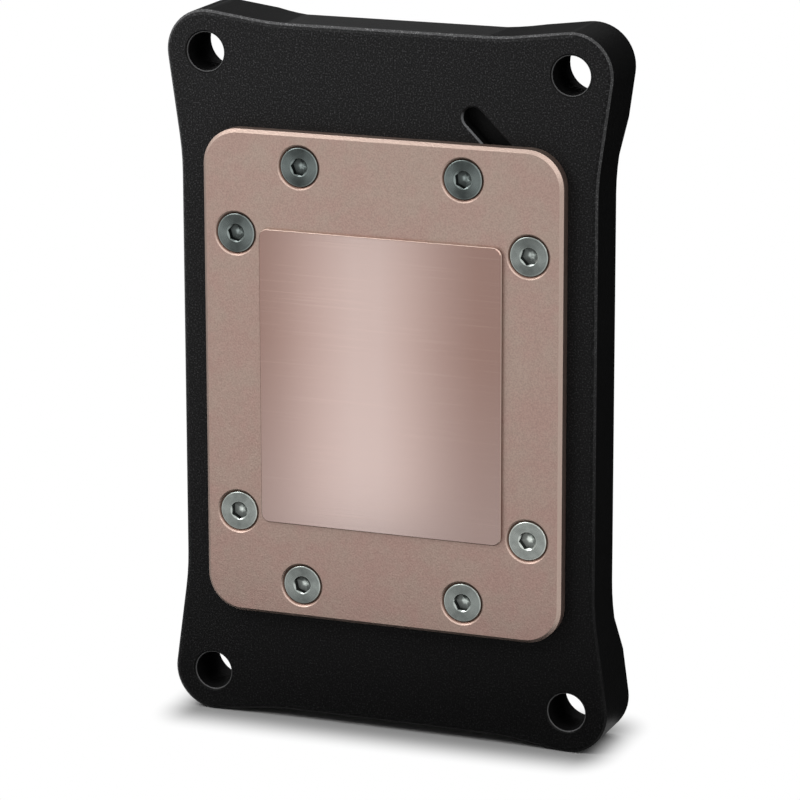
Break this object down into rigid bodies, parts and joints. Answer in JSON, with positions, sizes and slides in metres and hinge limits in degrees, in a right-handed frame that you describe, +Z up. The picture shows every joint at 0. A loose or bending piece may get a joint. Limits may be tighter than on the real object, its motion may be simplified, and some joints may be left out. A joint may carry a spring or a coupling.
{
  "type": "cpu water block",
  "caption": "Flat liquid cooling block for a processor: a copper cold plate with a raised contact face, screwed to a waisted black housing with corner bolt holes and hose ports.",
  "frame": {"origin": "middle of the four corner holes, on the front face of the top housing, where the cold plate sits", "axes": "+Z up the long side, +X across, +Y through the thickness from the contact face towards the hose ports"},
  "size_m": [0.0682, 0.0138, 0.1062],
  "materials": {
    "acetal": "machined and bead blasted, black",
    "copper": "milled copper",
    "screw_steel": "stainless",
    "jet_steel": "rolled stainless sheet",
    "seal_rubber": "smooth"
  },
  "bodies": {
    "root": {"top_housing": "acetal", "cold_plate": "copper", "seal_ring": "seal_rubber", "jet_plate": "jet_steel", "plate_screw_1": "screw_steel", "plate_screw_2": "screw_steel", "plate_screw_3": "screw_steel", "plate_screw_4": "screw_steel", "plate_screw_5": "screw_steel", "plate_screw_6": "screw_steel", "plate_screw_7": "screw_steel", "plate_screw_8": "screw_steel"}
  },
  "joints": []
}
